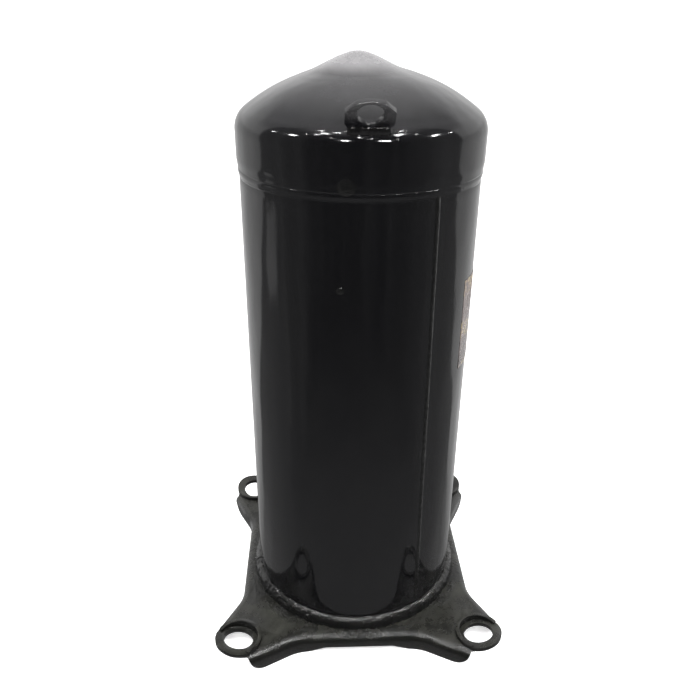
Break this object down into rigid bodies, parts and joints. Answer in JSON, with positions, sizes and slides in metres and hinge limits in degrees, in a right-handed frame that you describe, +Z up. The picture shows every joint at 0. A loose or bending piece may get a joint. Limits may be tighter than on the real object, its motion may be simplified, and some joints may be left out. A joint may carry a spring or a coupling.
{
  "type": "scroll compressor",
  "caption": "Hermetic scroll compressor: tall black cylindrical shell with a domed cap and lifting lug, welded on a four-footed plate, with its motor, shaft and scroll set inside.",
  "frame": {"origin": "on the shell axis, in the plane on which the mounting plate flanges stand", "axes": "+Z up along the shell axis; -Y towards the lifting lug; +Y towards the terminal cover; the four feet lie along X and Y at half the hole pitch"},
  "size_m": [0.2294, 0.2294, 0.4388],
  "materials": {
    "paint_plate": "dusty semi-gloss black paint",
    "paint_shell": "gloss black paint",
    "paint_cap": "gloss black paint",
    "paint_weld": "black paint over weld bead",
    "lamination": "stacked sheet",
    "magnet_wire": "varnished copper wire",
    "aluminium": "die cast",
    "brass": "machined",
    "cast_iron": "as cast",
    "machined_iron": "machined",
    "ground_steel": "ground",
    "plated_steel": "zinc plated",
    "bearing_bronze": "sintered bronze",
    "seal_plastic": "filled fluoropolymer",
    "black_steel": "black oxide",
    "copper_plate": "copper plated steel",
    "terminal_glass": "sealing glass",
    "block_plastic": "moulded",
    "lead_sleeve": "woven sleeve",
    "protector_can": "pressed can",
    "screw_zinc": "green passivated",
    "gasket_rubber": "closed cell foam",
    "cover_plastic": "moulded, fine texture",
    "label_film": "printed film",
    "ferrite": "sintered"
  },
  "bodies": {
    "housing": {"base_plate": "paint_plate", "bottom_cap": "paint_plate", "shell_body": "paint_shell", "top_cap": "paint_cap", "cap_weld": "paint_weld", "base_weld": "paint_weld", "bottom_weld": "paint_weld", "plug_welds": "paint_weld", "lifting_lug": "paint_cap", "lug_weld": "paint_weld", "stator_core": "lamination", "stator_winding": "magnet_wire", "lower_bearing_bracket": "cast_iron", "lower_bearing": "bearing_bronze", "thrust_washer": "ground_steel", "main_frame": "cast_iron", "main_bearing": "bearing_bronze", "scroll_bolts": "black_steel", "guide_sleeves": "ground_steel", "muffler_plate": "plated_steel", "relief_valve_body": "brass", "relief_valve_spring": "ground_steel", "suction_stub": "copper_plate", "discharge_stub": "copper_plate", "stub_welds": "paint_weld", "suction_baffle": "plated_steel", "terminal_body": "plated_steel", "terminal_glass": "terminal_glass", "terminal_pins": "ground_steel", "lead_block": "block_plastic", "motor_leads": "lead_sleeve", "motor_protector": "protector_can", "terminal_fence": "paint_plate", "ground_screw": "screw_zinc", "cover_gasket": "gasket_rubber", "terminal_cover": "cover_plastic", "nameplate": "label_film", "debris_magnet": "ferrite"},
    "crank": {"rotor_core": "lamination", "rotor_end_rings": "aluminium", "lower_counterweight": "brass", "upper_counterweight": "cast_iron", "crankshaft": "ground_steel", "drive_bush": "ground_steel", "oil_pickup": "plated_steel"},
    "orbiting_scroll": {"orbiting_scroll": "machined_iron", "orbiting_tip_seal": "seal_plastic", "orbiting_bearing": "bearing_bronze"},
    "fixed_scroll": {"fixed_scroll": "machined_iron", "fixed_tip_seal": "seal_plastic", "valve_retainer": "plated_steel"},
    "gallery_plug": {"oil_gallery_plug": "brass"},
    "oldham_ring": {"oldham_ring": "aluminium"},
    "check_valve": {"discharge_valve_disc": "ground_steel"},
    "floating_seal": {"floating_seal": "machined_iron"},
    "relief_poppet": {"relief_valve_poppet": "ground_steel"}
  },
  "joints": [
    {"name": "crank_spin", "type": "hinge", "parent": "housing", "child": "crank", "pos_m": [0, 0, 0.158], "axis": [0, 0, 1], "continuous": true},
    {"name": "scroll_orbit", "type": "hinge", "parent": "crank", "child": "orbiting_scroll", "pos_m": [0, 0.00385, 0.29], "axis": [0, 0, 1], "continuous": true},
    {"name": "gallery_plug_turn", "type": "hinge", "parent": "crank", "child": "gallery_plug", "pos_m": [0, 0.00193, 0.29], "axis": [0, 0, 1], "continuous": true},
    {"name": "oldham_travel", "type": "hinge", "parent": "gallery_plug", "child": "oldham_ring", "pos_m": [0, 0, 0.29], "axis": [0, 0, 1], "continuous": true},
    {"name": "fixed_scroll_lift", "type": "slide", "parent": "housing", "child": "fixed_scroll", "axis": [0, 0, 1], "range_m": [0, 0.0008]},
    {"name": "check_valve_lift", "type": "slide", "parent": "fixed_scroll", "child": "check_valve", "axis": [0, 0, 1], "range_m": [0, 0.0022]},
    {"name": "floating_seal_lift", "type": "slide", "parent": "housing", "child": "floating_seal", "axis": [0, 0, 1], "range_m": [0, 0.0012]},
    {"name": "relief_valve_lift", "type": "slide", "parent": "housing", "child": "relief_poppet", "axis": [0, 0, -1], "range_m": [0, 0.002], "stiffness_N_per_m": 5000, "springref_m": -0.004, "deforming": ["relief_valve_spring"]}
  ],
  "couplings": [
    {"joint": "scroll_orbit", "follows": "crank_spin", "ratio": -1},
    {"joint": "gallery_plug_turn", "follows": "crank_spin", "ratio": -2},
    {"joint": "oldham_travel", "follows": "crank_spin", "ratio": 1}
  ]
}
